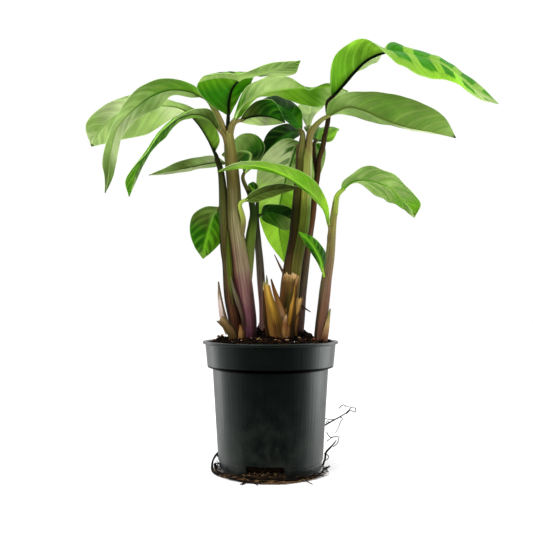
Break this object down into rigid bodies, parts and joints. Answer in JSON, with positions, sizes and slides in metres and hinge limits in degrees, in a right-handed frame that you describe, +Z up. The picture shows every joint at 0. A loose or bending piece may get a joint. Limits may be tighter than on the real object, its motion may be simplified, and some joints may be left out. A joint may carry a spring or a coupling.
{
  "type": "potted zebra plant",
  "caption": "Leafy zebra plant with long petioles and broad arching leaves, growing from bark soil in a round plastic nursery pot, with loose roots at the pot's foot.",
  "frame": {"origin": "centre of the pot's underside, on the flat centre pad that stands on the surface", "axes": "+Z up; -Y is the plant's front; +X is to the right as seen from the front"},
  "size_m": [0.4287, 0.159, 0.4389],
  "materials": {
    "pot_plastic": "black moulded plastic, satin, with fine upright streaks and dust",
    "soil": "damp bark and peat mix with lighter chips",
    "root": "dry brown roots",
    "stem_olive": "ribbed green-brown petioles, mauve at the base",
    "stem_dark": "slim dark purple-brown petioles",
    "dry_sheath": "papery dry leaf sheath",
    "leaf": "soft leaf, dark stripes on lime above, pale grey-green below"
  },
  "bodies": {
    "root": {"pot": "pot_plastic", "soil": "soil", "root_mat": "root", "stem_a": "stem_olive", "stem_b": "stem_olive", "stem_b_right": "stem_dark", "stem_c": "stem_olive", "stem_d": "stem_dark", "stub_front": "dry_sheath", "stub_left": "dry_sheath", "leaf_a_left_front": "leaf", "leaf_a_left_back": "leaf", "leaf_a_left_narrow": "leaf", "leaf_a_low_back": "leaf", "leaf_a_top": "leaf", "leaf_a_right_over": "leaf", "leaf_a_right_under": "leaf", "leaf_a_middle": "leaf", "leaf_a_inner": "leaf", "leaf_a_low_round": "leaf", "leaf_b_left": "leaf", "leaf_b_back_high": "leaf", "leaf_b_right_top": "leaf", "leaf_b_right_middle": "leaf", "leaf_b_back_low": "leaf", "leaf_b_hanging": "leaf", "leaf_b_back_arch": "leaf", "leaf_c_left_arch": "leaf", "leaf_c_right": "leaf", "leaf_c_low_left": "leaf", "leaf_d_right": "leaf", "leaf_d_young": "leaf"}
  },
  "joints": []
}
